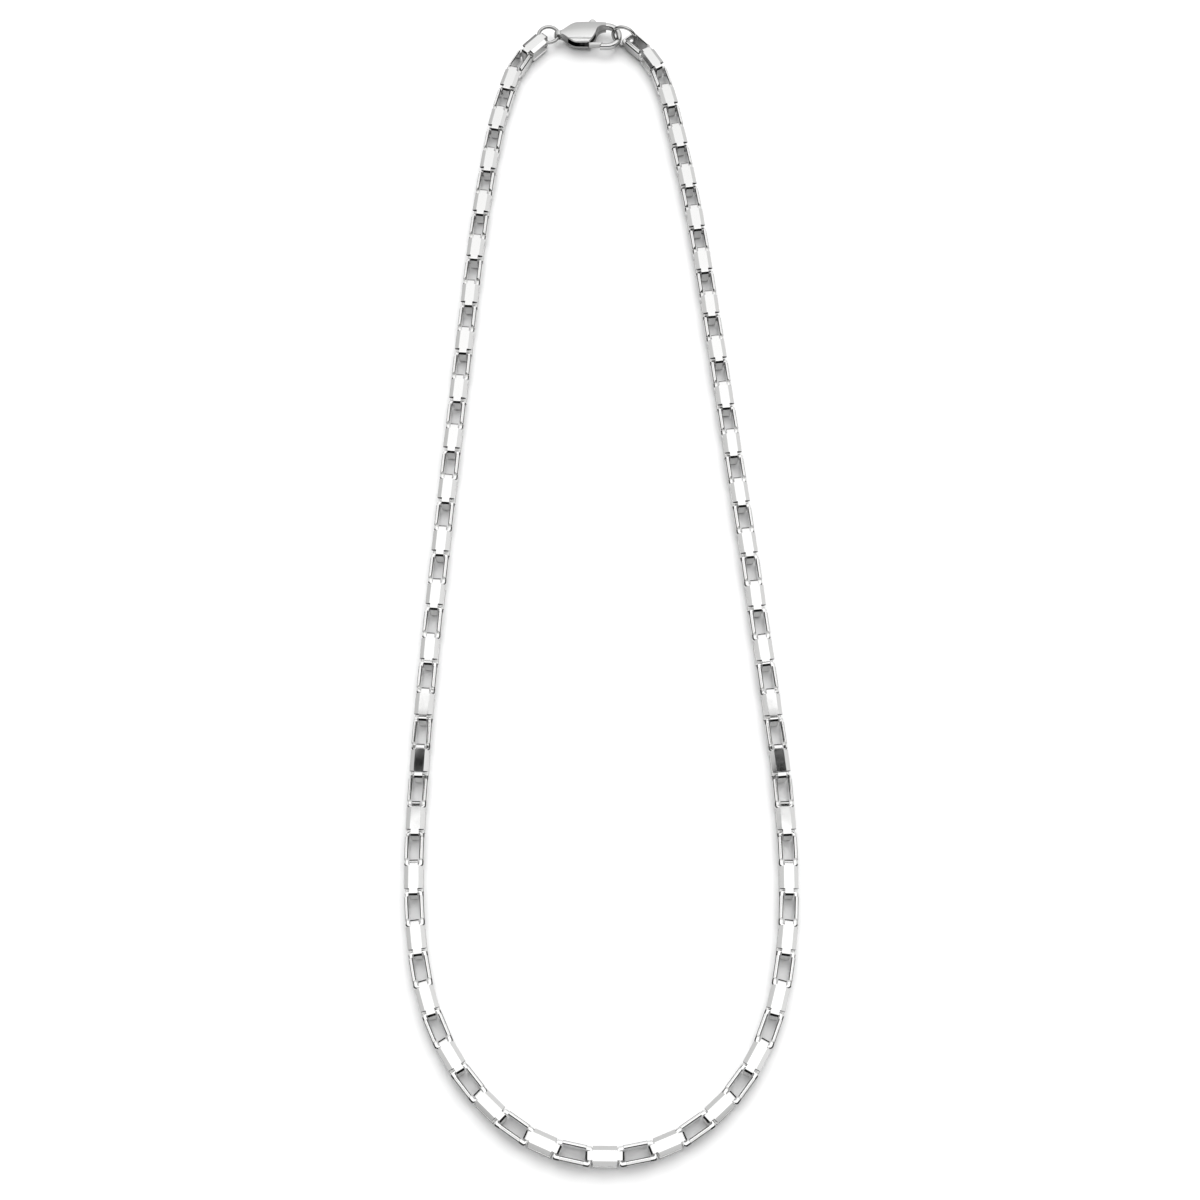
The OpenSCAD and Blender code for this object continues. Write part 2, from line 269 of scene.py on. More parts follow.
class NECKLACE_PG_links(bpy.types.PropertyGroup):
    """Sizes of one link, in millimetres."""
    length: bpy.props.FloatProperty(name="Length", description="Length of a link, in millimetres", default=6.34)
    width: bpy.props.FloatProperty(name="Width", description="Width of the square a link fills", default=3.3)
    opening: bpy.props.FloatProperty(name="Opening", description="Width of the opening in a link", default=1.92)
    end: bpy.props.FloatProperty(name="End", description="Thickness of a link's end", default=0.42)
    end_width: bpy.props.FloatProperty(name="End width", description="Width of a link's end", default=1.44)
    strip: bpy.props.FloatProperty(name="Strip", description="Width of the strip a link is bent from", default=3.2)
    facet: bpy.props.FloatProperty(name="Facet", description="Width of the flat on a wall", default=1.74)
    drop: bpy.props.FloatProperty(name="Drop", description="Depth of the bevels beside the flat", default=0.34)
    wide: bpy.props.FloatProperty(name="Wide part", description="Length of a wall's wide part", default=4.02)
    slant: bpy.props.FloatProperty(name="Slant", description="Slant of the wide part's ends", default=0.08)
    corner: bpy.props.FloatProperty(name="Corner", description="Radius of the outer corners", default=0.55)
    inner: bpy.props.FloatProperty(name="Inner corner", description="Radius of the corners inside", default=0.15)
    edge: bpy.props.FloatProperty(name="Edge", description="Width of the rounding on the edges", default=0.03)
    rim: bpy.props.FloatProperty(name="Rim", description="Width of the rounding inside the walls", default=0.22)
    shoulder: bpy.props.FloatProperty(name="Shoulder", description="Width of the chamfer on the ends", default=0.22)
    # The line along the flat links' outer bevels is painted shade
    line: bpy.props.FloatProperty(name="Line", description="Width of the dark line along the outside", default=0.12)
    colour: bpy.props.FloatVectorProperty(name="Colour", description="Colour of the links' metal", size=3,
                                          subtype="COLOR", default=(0.74, 0.74, 0.735), min=0, max=1)
    # Lighter than the links' metal: painted light on the walls inside the flat links
    recess: bpy.props.FloatVectorProperty(name="Recess", description="Colour of the metal inside a link", size=3,
                                          subtype="COLOR", default=(0.85, 0.85, 0.85), min=0, max=1)
    # Lighter still and rougher: painted light inside the upright links and on their end faces
    satin: bpy.props.FloatVectorProperty(name="Satin", description="Colour of the metal inside an upright link",
                                         size=3, subtype="COLOR", default=(0.92, 0.92, 0.915), min=0, max=1)
    # Near-black: painted shade on the flat links' inner rims and outer line, and on the upright links' end corners and
    # wide parts' ends
    shade: bpy.props.FloatVectorProperty(name="Shade", description="Colour of the metal in the joints", size=3,
                                         subtype="COLOR", default=(0.04, 0.04, 0.04), min=0, max=1)


class NECKLACE_PG_rings(bpy.types.PropertyGroup):
    """Sizes of the jump rings, in millimetres."""
    wire: bpy.props.FloatProperty(name="Wire", description="Thickness of the rings' wire", default=0.7)
    cut: bpy.props.FloatProperty(name="Cut", description="Width of the cut where a ring closes", default=0.03)
    # Darker than the links' metal: painted shade that outlines the rings' wires against the floor
    colour: bpy.props.FloatVectorProperty(name="Colour", description="Colour of the rings' metal", size=3,
                                          subtype="COLOR", default=(0.5, 0.5, 0.495), min=0, max=1)


class NECKLACE_PG_clasp(bpy.types.PropertyGroup):
    """Sizes of the clasp, in millimetres."""
    width: bpy.props.FloatProperty(name="Width", description="Width of the clasp's body", default=5.0)
    half_height: bpy.props.FloatProperty(name="Half height", description="Height of the domes", default=1.5)
    slot: bpy.props.FloatProperty(name="Slot", description="Height of the slot for the lever", default=1.3)
    rounding: bpy.props.FloatProperty(name="Rounding", description="Rounding of the body's edges", default=0.45)
    hook_out: bpy.props.FloatProperty(name="Hook", description="Outer width of the hook", default=6.3)
    bar_w: bpy.props.FloatProperty(name="Bar width", description="Width of the hook's bar", default=1.1)
    bar_t: bpy.props.FloatProperty(name="Bar thickness", description="Thickness of the hook's bar", default=1.5)
    colour: bpy.props.FloatVectorProperty(name="Colour", description="Colour of the clasp's metal", size=3,
                                          subtype="COLOR", default=(0.62, 0.62, 0.615), min=0, max=1)
    # Near-black: painted shade in the slot between the clasp's plates
    recess: bpy.props.FloatVectorProperty(name="Recess", description="Colour of the metal inside the clasp", size=3,
                                          subtype="COLOR", default=(0.05, 0.05, 0.05), min=0, max=1)


class NECKLACE_PG_stage(bpy.types.PropertyGroup):
    """Camera, floor and light."""
    lens: bpy.props.FloatProperty(name="Lens", description="Focal length, in millimetres", default=60.0)
    tilt: bpy.props.FloatProperty(name="Tilt", description="Tilt of the view from straight down", subtype="ANGLE",
                                  default=math.radians(24.2))
    distance: bpy.props.FloatProperty(name="Distance", description="Distance from the camera to the chain",
                                      subtype="DISTANCE", default=0.3617)
    light: bpy.props.FloatProperty(name="Light", description="Strength of the light all round", default=1.0)


# Links

# Paint of a link's faces, in the order of its materials: plain metal, painted light inside the flat links, painted
# light inside the upright links and on their ends, and painted shade
PLAIN, PAINTED_LIGHT_FLAT, PAINTED_LIGHT_UPRIGHT, PAINTED_SHADE = range(4)
# A link higher than this, in millimetres, stands with its opening sideways: it is 3.3 high, and a flat one 3.2
UPRIGHT_HEIGHT = 3.25
# Chamfer on the upright links' ends, as a share of the flat links' shoulder
UPRIGHT_CHAMFER = 0.125


def on_bevel(normal):
    """Whether a face lies on one of the bevels beside a wall's flat facet."""
    return 0.2 < abs(normal.z) < 0.6


def cut_opening(piece, s):
    """Rounds a plate's corners, insets its faces to the size of the opening and bridges the opening through."""
    half_x, half_y = s.length / 2, s.width / 2
    hole_x, hole_y = half_x - s.end, s.opening / 2

    def upright(e):
        a, b = e.verts
        return near(a.co.x, b.co.x) and near(a.co.y, b.co.y)

    pick(piece, "edges", upright)
    bpy.ops.mesh.bevel(offset=s.corner, segments=7, affect="EDGES")
    pick(piece, "faces", lambda f: abs(f.normal.z) > LEVEL)
    bpy.ops.mesh.inset(thickness=s.end, use_individual=True)
    arc_x, arc_y = half_x - s.corner, half_y - s.corner
    shrink = s.inner / (s.corner - s.end)
    for x, y in ((-1, -1), (-1, 1), (1, -1), (1, 1)):
        pick(piece, "verts", lambda v: 0 < v.co.x * x < hole_x + CLOSE and 0 < v.co.y * y < half_y - s.end + CLOSE)
        scale(shrink, shrink, 1, (x * arc_x, y * arc_y, 0))
        move(x=x * (hole_x - s.inner - arc_x), y=y * (hole_y - s.inner - arc_y))
    # The two faces in the middle give way to the opening
    pick(piece, "faces", lambda f: abs(f.normal.z) > LEVEL
         and f.calc_center_median().length < s.end_width / 2 + CLOSE)
    bpy.ops.mesh.delete(type="FACE")
    pick(piece, "edges", lambda e: all(
        abs(v.co.x) < hole_x + CLOSE and abs(v.co.y) < hole_y + CLOSE for v in e.verts))
    bpy.ops.mesh.bridge_edge_loops()


def raise_walls(piece, s):
    """Draws the wide part of each wall out of the plate, with bevels beside its flat and slanted ends."""
    narrow, flat, wide = s.end_width / 2, s.facet / 2, s.strip / 2
    for x in (-s.wide / 2, s.wide / 2):
        bpy.ops.mesh.select_all(action="SELECT")
        bpy.ops.mesh.bisect(plane_co=(x, 0, 0), plane_no=(1, 0, 0))
    tidy_mesh()
    for side in (-1, 1):
        for low, high in ((narrow, flat), (flat, wide)):
            pick(piece, "faces", lambda f: near(f.calc_center_median().z, side * low) and f.normal.z * side > LEVEL
                 and abs(f.calc_center_median().x) < s.wide / 2)
            extrude(z=side * (high - low))
        for y in (-1, 1):
            pick(piece, "verts", lambda v: near(v.co.z, side * wide) and near(v.co.y, y * s.width / 2))
            move(y=-y * s.drop)
        for x in (-1, 1):
            pick(piece, "verts", lambda v: near(v.co.z, side * wide) and near(v.co.x, x * s.wide / 2))
            move(x=-x * s.slant)


def dress_edges(piece, s, chamfer):
    """Rounds the rims of the opening, chamfers the ends and cuts the bevels where the line of painted shade starts."""
    half_y, hole_y = s.width / 2, s.opening / 2
    narrow, wide = s.end_width / 2, s.strip / 2
    pick(piece, "edges", lambda e: all(near(abs(v.co.z), wide) and near(abs(v.co.y), hole_y) for v in e.verts))
    bpy.ops.mesh.bevel(offset=s.rim, segments=5, affect="EDGES")

    def along_end(e):
        a, b = (v.co for v in e.verts)
        outer = all(near(abs(at.z), narrow) and abs(at.y) > hole_y + 0.1 for at in (a, b))
        return outer and near(a.z, b.z) and abs(a.x + b.x) > s.wide + CLOSE

    pick(piece, "edges", along_end)
    bpy.ops.mesh.bevel(offset=chamfer, segments=1, affect="EDGES")
    for y in (-1, 1):
        pick(piece, "faces", lambda f: on_bevel(f.normal) and f.normal.y * y > 0.5
             and abs(f.calc_center_median().x) < 0.1)
        bpy.ops.mesh.bisect(plane_co=(0, y * (half_y - s.line), 0), plane_no=(0, 1, 0))
    tidy_mesh()


def one_link(s, chamfer):
    """One link in millimetres, its length along X and its opening along Z, with a chamfer on its ends."""
    clear_selection()
    bpy.ops.mesh.primitive_cube_add(size=1)
    piece = begin("link")
    scale(s.length, s.width, s.end_width)
    cut_opening(piece, s)
    raise_walls(piece, s)
    dress_edges(piece, s, chamfer)
    bpy.ops.object.mode_set(mode="OBJECT")
    soften(piece, s.edge, segments=2, angle=20)
    smooth(piece, 40)
    return piece


def inside(s, face):
    """Whether a face lines the opening of a link."""
    return abs(face.center.x) < s.length / 2 - s.end + CLOSE and abs(face.center.y) < s.opening / 2 + CLOSE


def flat_kind(s, face):
    """Paint of a face on a link whose opening lies upwards: painted light inside it, painted shade round the opening's
    rim and along the outside.
    """
    if inside(s, face):
        return PAINTED_LIGHT_FLAT
    across, up = abs(face.center.y), abs(face.center.z)
    on_rim = across < s.opening / 2 + s.rim and up > s.strip / 2 - s.rim and abs(face.normal.z) < 0.96
    on_line = across > s.width / 2 - s.line and on_bevel(face.normal)
    return PAINTED_SHADE if on_rim or on_line else PLAIN


def upright_kind(s, face):
    """Paint of a face on a link whose opening lies sideways: painted shade on its ends' corners and beside its
    neighbours, painted light inside it and on its end faces.
    """
    if inside(s, face):
        return PAINTED_LIGHT_UPRIGHT
    steep, along = abs(face.normal.x), abs(face.center.x)
    # An end's rounded corners lean between its sides and its end face; the corners get painted shade and the end face
    # painted light
    if along > s.length / 2 - s.corner:
        return PAINTED_SHADE if 0.35 < steep < 0.98 else PAINTED_LIGHT_UPRIGHT if steep > LEVEL else PLAIN
    # The wide part's own end faces look along the link, beside its neighbours, and get painted shade
    return PAINTED_SHADE if steep > 0.72 and along > s.wide / 2 - s.slant - 0.1 else PLAIN


def loose_parts(bm):
    """Lists the faces of each solid that stands by itself in a mesh."""
    seen, parts = set(), []
    for start in bm.faces:
        if start in seen:
            continue
        seen.add(start)
        stack, group = [start], []
        while stack:
            face = stack.pop()
            group.append(face)
            for other in [other for edge in face.edges for other in edge.link_faces]:
                if other not in seen:
                    seen.add(other)
                    stack.append(other)
        parts.append(group)
    return parts


def solids_of(node):
    """Middle and direction of every solid in a chain node, and whether its opening lies sideways."""
    bm = bmesh.new()
    bm.from_mesh(frame["nodes"][node].data)
    bmesh.ops.remove_doubles(bm, verts=bm.verts, dist=1e-7)
    bmesh.ops.triangulate(bm, faces=bm.faces)
    found = []
    for group in loose_parts(bm):
        corners = np.array([[v.co[:] for v in face.verts] for face in group])
        areas = np.array([face.calc_area() for face in group])
        middles = corners.mean(axis=1)
        low, high = corners.reshape(-1, 3).min(0), corners.reshape(-1, 3).max(0)
        centre = (middles * areas[:, None]).sum(0) / areas.sum()
        flat = (middles - centre)[:, :2]
        spread = (flat * areas[:, None]).T @ flat
        # The direction in which the solid spreads the furthest is along the link
        way = np.linalg.eigh(spread)[1][:, -1]
        found.append((Vector((centre[0], centre[1], (low[2] + high[2]) / 2)), math.atan2(way[1], way[0]),
                      (high[2] - low[2]) / MM > UPRIGHT_HEIGHT))
    bm.free()
    return found


class NECKLACE_OT_chain(bpy.types.Operator):
    """Models a flat and an upright link and sets a copy in place for each link of the chain's halves"""
    bl_idname = "necklace.chain"
    bl_label = "Chain"

    def execute(self, context):
        s = context.scene.necklace_links
        metal = polished("polished_links", s.colour, gloss=0.05, haze=0.05, bump=0.12)
        # Lighter copies of the metal paint light inside the links and on the upright links' ends; the near-black one
        # paints shade on their rims and corners
        others = (
            polished("recessed_links", s.recess, gloss=0.16, haze=0.1, bump=0.2),
            polished("satin_links", s.satin, gloss=0.55, haze=0.1, bump=0.2),
            polished("shaded_links", s.shade, gloss=0.3, haze=0.1, bump=0.1),
        )
        flat, upright = one_link(s, s.shoulder), one_link(s, s.shoulder * UPRIGHT_CHAMFER)
        flat_kinds = [flat_kind(s, f) for f in flat.data.polygons]
        upright_kinds = [upright_kind(s, f) for f in upright.data.polygons]
        for node in ("chain_left", "chain_right"):
            copies = []
            for centre, turn, sideways in solids_of(node):
                copy = bpy.data.objects.new("link_copy", (upright if sideways else flat).data.copy())
                context.collection.objects.link(copy)
                place = Matrix.Translation(centre) @ Matrix.Rotation(turn, 4, "Z")
                if sideways:
                    place = place @ Matrix.Rotation(math.pi / 2, 4, "X")
                finish_piece(copy, place, metal)
                for material in others:
                    copy.data.materials.append(material)
                copy.data.polygons.foreach_set("material_index", upright_kinds if sideways else flat_kinds)
                copies.append(copy)
            whole = joined(copies, node + "_links")
            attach(whole, "necklace")
            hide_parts(node)
        bpy.data.objects.remove(flat)
        bpy.data.objects.remove(upright)
        return {"FINISHED"}


# Rings

# Where each ring's cut is, as a turn round the ring
RING_CUTS = (("jump_ring_left", math.radians(200)), ("jump_ring_right", math.radians(-70)))


def ring_place(node):
    """Place of a ring's middle and plane, and its outer radius in millimetres, from its solid."""
    points = np.array([v.co[:] for v in frame["nodes"][node].data.vertices])
    centre = (points.min(0) + points.max(0)) / 2
    flat = points - centre
    # The direction in which its points spread the least is across the ring's plane
    normal = Vector(np.linalg.eigh(np.cov(flat.T))[1][:, 0])
    if normal.z < 0:
        normal = -normal
    radius = np.linalg.norm(flat, axis=1).max() / MM
    return Matrix.Translation(centre) @ normal.to_track_quat("Z", "Y").to_matrix().to_4x4(), radius


class NECKLACE_OT_rings(bpy.types.Operator):
    """Bends a wire into each jump ring, with the fine cut where it closes"""
    bl_idname = "necklace.rings"
    bl_label = "Jump rings"

    def execute(self, context):
        s = context.scene.necklace_rings
        metal = polished("polished_rings", s.colour, gloss=0.06, haze=0.05, bump=0.1)
        for node, cut_at in RING_CUTS:
            place, outer = ring_place(node)
            radius = outer - s.wire / 2
            clear_selection()
            bpy.ops.mesh.primitive_circle_add(vertices=20, radius=s.wire / 2, rotation=(math.pi / 2, 0, 0),
                                              location=(radius, 0, 0), fill_type="NGON")
            bpy.ops.object.transform_apply()
            piece = begin(node + "_wire")
            bpy.ops.mesh.select_all(action="SELECT")
            bpy.ops.mesh.spin(steps=96, angle=2 * math.pi - s.cut / radius, center=(0, 0, 0), axis=(0, 0, 1))
            tidy_mesh()
            bpy.ops.object.mode_set(mode="OBJECT")
            soften(piece, 0.02, segments=2, angle=50)
            smooth(piece, 40)
            finish_piece(piece, place @ Matrix.Rotation(cut_at, 4, "Z"), metal)
            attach(piece, "necklace")
            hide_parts(node)
        return {"FINISHED"}


# Clasp, in its own frame in millimetres: u along it from the neck, v across it, w up from its middle plane

HUB = Vector((4.2, -1.35, 0))
CLASP_PLACE = Matrix.Translation((PIN - HUB) * MM)
# The eye: the u of its middle, its outer radius, its wall and its length across the clasp
EYE_U, EYE_R, EYE_WALL, EYE_LEN = -0.6, 0.975, 0.3, 1.1
# The body's outline: half the neck's width, and the u where the flare, the near side and the plates end
NECK_HALF, FLARE_LEN, NEAR_LEN, SEAM_U = 0.5, 3.3, 5.65, 9.2
# The hook: the u and v of its middle, how far its arm reaches back between the plates, and the u of its tip
HOOK_U, HOOK_V, ARM_BACK, TIP_U = 9.35, -0.4, 1.9, 8.2
# The round of the body's edge beside the hook: its radius, and how far back from the hook its middle is
BAY_R, BAY_BACK = 1.7, 0.45
# The plates' dome, an ellipsoid: the u of its middle, and its half length and half width
DOME_U, DOME_LEN, DOME_WIDTH = 5.6, 8, 4.2
# Height a plate is drawn to before it is domed
RAW_TOP = 3
# The wall between the plates: how far it lies inside their edge and reaches into them, the ends of its core at the
# neck, the start and thickness of its far side, and the start of its part by the hook's arm
INSET, OVERLAP, CORE_ENDS, FAR_START, FAR_WALL, ARM_START = 0.06, 0.01, (0.2, 1.3), 1.2, 0.5, 7.1
# Rounding of the hook's bar
BAR_ROUND = 0.5
# The gate: the v of its middle, its half width, its gap to the hook's tip and the slant of both
GATE_V, GATE_HALF, GATE_GAP, GATE_SLANT = -2.6, 0.35, 0.12, math.radians(30)
# It starts outside the rivet's bore
GATE_START, GATE_END = 4.7, 8
# The lever: its play beside each plate, its hub's outer radius and bore, and its tab's arm: where this starts from
# the hub's middle, its half width, and how much thinner it is on each side
LEVER_PLAY, HUB_R, BORE_R, ARM_FROM, ARM_HALF, ARM_THINNER = 0.08, 0.9, 0.45, 0.7, 0.45, 0.02
TAB = Vector((6.4, 3.1, 0))
TAB_R = 0.7
# Distance at which a finished column of a block waits, so that it isn't picked again
ASIDE = 100


def far_edge(u, half):
    """Far side of the body's outline at a place along it."""
    if u <= 0:
        return NECK_HALF
    if u >= FLARE_LEN:
        return half
    return NECK_HALF + (half - NECK_HALF) * math.sin(math.pi / 2 * u / FLARE_LEN) ** 1.3


def arm_inside(s):
    """Inner side of the hook's arm."""
    return HOOK_V + s.hook_out / 2 - s.bar_w


def hook_edge(half, arm_in):
    """Points of the body's edge beside the hook: a sweep from the near side that meets an arc round to the arm."""
    centre = Vector((HOOK_U - BAY_BACK, arm_in - BAY_R))
    arc = [centre + BAY_R * Vector((math.cos(t), math.sin(t))) for t in np.radians(np.arange(165, 85, -7.5)).tolist()]
    end, start = Vector((NEAR_LEN, -half)), arc[0]
    meets = math.radians(75)
    aim = start - (end - start).length / 2 * Vector((math.cos(meets), math.sin(meets)))
    sweep = [(1 - t) ** 2 * end + 2 * t * (1 - t) * aim + t * t * start for t in np.arange(0, 1, 0.125).tolist()]
    return sweep + arc


def near_edge(u, half, edge):
    """Near side of the body's outline at a place along it."""
    if u <= NEAR_LEN:
        return -far_edge(u, half)
    return float(np.interp(u, [p.x for p in edge], [p.y for p in edge]))


def slant_end(piece, s, gap=0):
    """Sets a piece's selected end on the slant between the hook's tip and the gate, or a gap before it."""
    tip_v = HOOK_V - (s.hook_out - s.bar_w) / 2
    bm = bmesh.from_edit_mesh(piece.data)
    for v in bm.verts:
        if v.select:
            v.co.x = TIP_U + math.tan(GATE_SLANT) * (v.co.y - tip_v) - gap / math.cos(GATE_SLANT)
    bmesh.update_edit_mesh(piece.data)


def block(name, stations, low, high, bottom, top, rows=1):
    """A solid between two edges, low(u) and high(u), made from a grid whose columns are set at the stations."""
    clear_selection()
    columns = len(stations) - 1
    bpy.ops.mesh.primitive_grid_add(x_subdivisions=columns, y_subdivisions=rows, size=2)
    piece = begin(name)
    for k, u in enumerate(stations):
        at = -1 + 2 * k / columns
        pick(piece, "verts", lambda v: near(v.co.x, at, 0.2 / columns) and near(v.co.z, 0))
        scale(1, (high(u) - low(u)) / 2, 1, (at, 0, 0))
        move(x=u - at + ASIDE, y=(high(u) + low(u)) / 2)
    bpy.ops.mesh.select_all(action="SELECT")
    move(x=-ASIDE, z=bottom)
    extrude(z=top - bottom)
    tidy_mesh()
    return piece


def plate(name, s, side):
    """The body's upper or lower plate: a domed face over a flat one, with its outline rounded."""
    half = s.width / 2
    edge = hook_edge(half, arm_inside(s))
    stations = sorted({*np.linspace(-0.2, FLARE_LEN, 16), *np.linspace(FLARE_LEN, NEAR_LEN, 8).tolist()[1:-1],
                       *(p.x for p in edge), SEAM_U})
    piece = block(name, stations, lambda u: near_edge(u, half, edge), lambda u: far_edge(u, half), s.slot / 2, RAW_TOP,
                  rows=14)
    bm = bmesh.from_edit_mesh(piece.data)
    for v in bm.verts:
        if v.co.z > RAW_TOP - 1:
            along, across = (v.co.x - DOME_U) / DOME_LEN, v.co.y / DOME_WIDTH
            v.co.z = s.half_height * math.sqrt(max(0.0, 1 - along * along - across * across))
    bmesh.update_edit_mesh(piece.data)
    bpy.ops.mesh.normals_make_consistent(inside=False)

    def rim(e):
        ups = sorted(abs(f.normal.z) for f in e.link_faces)
        return len(ups) == 2 and ups[0] < 0.3 and ups[1] > 0.6 and e.verts[0].co.z > s.slot / 2 + CLOSE

    pick(piece, "edges", rim)
    bpy.ops.mesh.bevel(offset=s.rounding, segments=4, affect="EDGES", clamp_overlap=True)
    if side < 0:
        bpy.ops.mesh.select_all(action="SELECT")
        scale(1, 1, -1)
    tidy_mesh()
    bpy.ops.object.mode_set(mode="OBJECT")
    soften(piece, 0.04, segments=2, angle=50)
    return piece


def filler(name, s, stations, low, high):
    """A part of the wall between the two plates."""
    piece = block(name, stations, low, high, -s.slot / 2 - OVERLAP, s.slot / 2 + OVERLAP)
    bpy.ops.object.mode_set(mode="OBJECT")
    return piece


def bore(piece, axis, thickness, middle, radius):
    """Insets the two faces across an axis of a cylinder, and bridges the hole that this leaves through it."""
    pick(piece, "faces", lambda f: abs(f.normal[axis]) > LEVEL)
    bpy.ops.mesh.inset(thickness=thickness, use_individual=True)
    bpy.ops.mesh.delete(type="FACE")

    def on_hole(v):
        out = v.co - middle
        out[axis] = 0
        return near(out.length, radius, 0.03)

    pick(piece, "edges", lambda e: all(on_hole(v) for v in e.verts)
         and near(e.verts[0].co[axis], e.verts[1].co[axis]))
    bpy.ops.mesh.bridge_edge_loops()


def eye():
    """The eye at the neck: a short cylinder with its hole bored through."""
    middle = Vector((EYE_U, 0, 0))
    clear_selection()
    bpy.ops.mesh.primitive_cylinder_add(vertices=40, radius=EYE_R, depth=EYE_LEN, rotation=(math.pi / 2, 0, 0),
                                        location=middle)
    bpy.ops.object.transform_apply()
    piece = begin("eye")
    bore(piece, 1, EYE_WALL, middle, EYE_R - EYE_WALL)
    tidy_mesh()
    bpy.ops.object.mode_set(mode="OBJECT")
    soften(piece, 0.12, segments=4, angle=50)
    return piece


def hook(s):
    """The hook: a rounded bar drawn from the body, spun round the end and drawn back to a slanted tip."""
    mid = (s.hook_out - s.bar_w) / 2
    clear_selection()
    bpy.ops.mesh.primitive_plane_add(size=1)
    piece = begin("hook")
    scale(s.bar_w, s.bar_t, 1)
    bpy.ops.mesh.bevel(offset=BAR_ROUND, segments=7, affect="VERTICES")
    bpy.ops.mesh.select_all(action="SELECT")
    bpy.ops.transform.rotate(value=math.pi / 2, orient_axis="X", center_override=(0, 0, 0))
    bpy.ops.transform.rotate(value=math.pi / 2, orient_axis="Z", center_override=(0, 0, 0))
    bpy.ops.mesh.select_all(action="SELECT")
    move(x=SEAM_U - ARM_BACK, y=HOOK_V + mid)
    extrude(x=HOOK_U - SEAM_U + ARM_BACK)
    bpy.ops.mesh.spin(steps=40, angle=math.pi, center=(HOOK_U, HOOK_V, 0), axis=(0, 0, 1))
    extrude(x=TIP_U - HOOK_U)
    slant_end(piece, s)
    tidy_mesh()
    bpy.ops.object.mode_set(mode="OBJECT")
    soften(piece, 0.08, segments=3, angle=40)
    return piece


def recessed_clasp(s):
    """Painted shade: near-black metal on the faces in the slot between the plates, which the body and the lever share.
    """
    return polished("recessed_clasp", s.recess, gloss=0.3, haze=0.1, bump=0.2)


class NECKLACE_OT_clasp(bpy.types.Operator):
    """Shapes the clasp's body: two domed plates, the wall between them, the eye and the hook"""
    bl_idname = "necklace.clasp"
    bl_label = "Clasp body"

    def execute(self, context):
        s = context.scene.necklace_clasp
        half = s.width / 2
        edge = hook_edge(half, arm_inside(s))
        metal = polished("polished_clasp", s.colour, gloss=0.09, haze=0.06, bump=0.1)

        def far(u):
            return far_edge(u, half) - INSET

        parts = [
            plate("upper_plate", s, 1),
            plate("lower_plate", s, -1),
            filler("neck_core", s, np.linspace(*CORE_ENDS, 6), lambda u: -far(u), far),
            filler("far_wall", s, np.linspace(FAR_START, FLARE_LEN, 10), lambda u: max(far(u) - FAR_WALL, 0), far),
            filler("arm_wall", s, np.linspace(ARM_START, SEAM_U, 10), lambda u: near_edge(u, half, edge) + INSET, far),
            eye(),
            hook(s),
        ]
        body = joined(parts, "clasp_shell")
        smooth(body, 35)
        # The plates' faces that line the slot get the painted shade
        painted_shade_faces = [int(near(abs(f.center.z), s.slot / 2, 0.02) and abs(f.normal.z) > LEVEL) for f in body.data.polygons]
        finish_piece(body, CLASP_PLACE, metal)
        body.data.materials.append(recessed_clasp(s))
        body.data.polygons.foreach_set("material_index", painted_shade_faces)
        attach(body, "necklace")
        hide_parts("clasp_body")
        return {"FINISHED"}


def gate(s, thick):
    """The lever's gate: a bar between two sides, from the hub along the clasp's near side to the hook's tip."""
    outer_v, inner_v = GATE_V - GATE_HALF, GATE_V + GATE_HALF
    outer = ((HUB.x, -2.25), (NEAR_LEN - 0.5, -2.5), (NEAR_LEN + 0.15, outer_v), (9, outer_v))
    inner = ((HUB.x, -1.3), (4.84, -0.71), (NEAR_LEN, inner_v), (9, inner_v))
    stations = (GATE_START, 4.84, NEAR_LEN - 0.5, NEAR_LEN, NEAR_LEN + 0.15, 6.6, 7.4, GATE_END)
    piece = block("gate", stations, lambda u: float(np.interp(u, *zip(*outer))),
                  lambda u: float(np.interp(u, *zip(*inner))), -thick, thick)
    pick(piece, "verts", lambda v: v.co.x > GATE_END - 0.1)
    slant_end(piece, s, GATE_GAP)
    bpy.ops.object.mode_set(mode="OBJECT")
    soften(piece, 0.12, segments=3, angle=40)
    return piece


def disc(name, middle, radius, thick):
    """A round part of the lever, left in edit mode."""
    clear_selection()
    bpy.ops.mesh.primitive_cylinder_add(vertices=40, radius=radius, depth=2 * thick, location=middle)
    bpy.ops.object.transform_apply()
    return begin(name)


